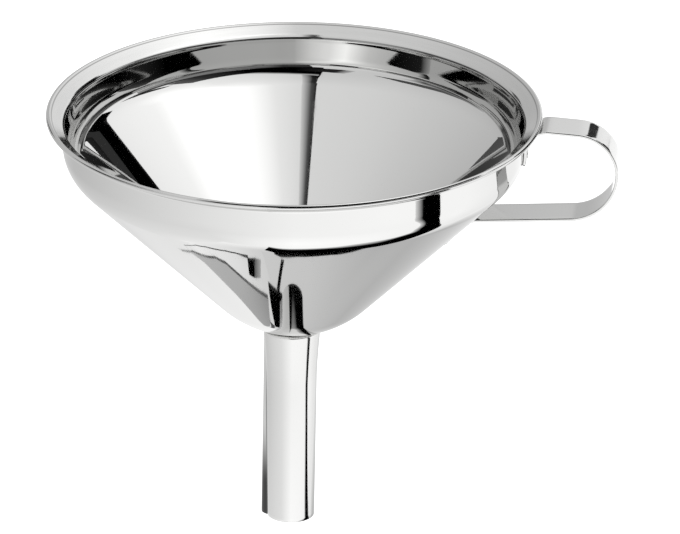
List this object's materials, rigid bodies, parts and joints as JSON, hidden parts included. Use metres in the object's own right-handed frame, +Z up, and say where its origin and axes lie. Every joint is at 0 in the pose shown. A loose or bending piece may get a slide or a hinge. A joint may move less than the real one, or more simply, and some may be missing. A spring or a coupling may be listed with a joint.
{
  "type": "kitchen funnel",
  "caption": "Polished steel liquid funnel: flared rim, short collar, cone, slim spout with a vent rib, and a strap loop handle.",
  "frame": {"origin": "on the bowl's axis, level with the place where the spout's mouth meets the bowl's bottom, which is where the cone sits down on a bottle", "axes": "+Z up along the bowl's axis, +X from the axis towards the handle"},
  "size_m": [0.1388, 0.12, 0.1066],
  "materials": {
    "bowl_steel": "mirror-polished stainless steel sheet",
    "spout_steel": "polished stainless steel tube",
    "strap_steel": "bright-rolled stainless steel strip",
    "weld_metal": "dressed stainless steel weld"
  },
  "bodies": {
    "root": {"funnel_bowl": "bowl_steel", "spout_tube": "spout_steel", "handle_strap": "strap_steel", "spout_weld_ring": "weld_metal", "upper_spot_weld_front": "weld_metal", "upper_spot_weld_rear": "weld_metal", "lower_spot_weld_front": "weld_metal", "lower_spot_weld_rear": "weld_metal"}
  },
  "joints": []
}
